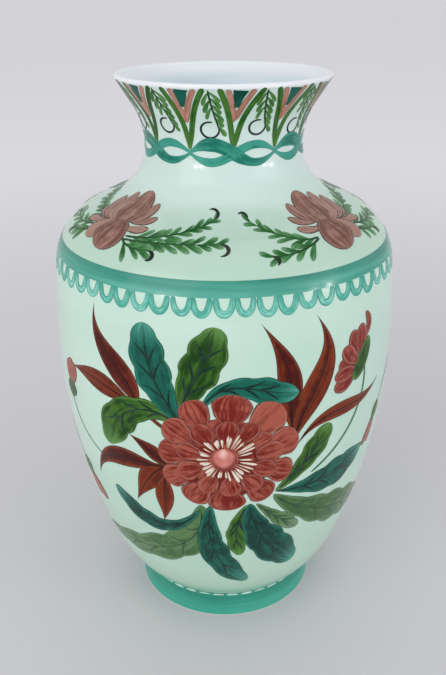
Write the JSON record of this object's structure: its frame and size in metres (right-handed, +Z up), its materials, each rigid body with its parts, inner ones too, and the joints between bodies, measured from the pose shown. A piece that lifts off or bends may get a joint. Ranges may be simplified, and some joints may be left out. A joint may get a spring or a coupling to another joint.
{
  "type": "vase",
  "caption": "Tall porcelain vase with a rounded shoulder, waisted neck, flared mouth and low foot ring, with a pale green ground and painted flowers.",
  "frame": {"origin": "middle of the foot ring's resting face, on the vase's axis", "axes": "+Z up along the vase's axis towards the mouth; -Y is the side with the large painted bouquet"},
  "size_m": [0.2188, 0.2188, 0.36],
  "materials": {
    "white_porcelain": "clear glossy glaze over white ware",
    "green_ground": "glossy fired ground, pale mint green",
    "teal_enamel": "glossy brushed enamel, blue green",
    "green_enamel": "glossy brushed enamel, leaf green",
    "rust_enamel": "glossy brushed enamel, rust brown",
    "red_enamel": "glossy brushed enamel, brick red",
    "rose_enamel": "glossy brushed enamel, dusty rose",
    "cream_enamel": "raised glossy enamel, cream",
    "dark_enamel": "fine glossy enamel line, near black"
  },
  "bodies": {
    "root": {"body": "white_porcelain", "neck": "white_porcelain", "foot_ring": "white_porcelain", "body_coat": "green_ground", "neck_coat": "green_ground", "shoulder_band": "teal_enamel", "foot_band": "teal_enamel"}
  },
  "joints": []
}
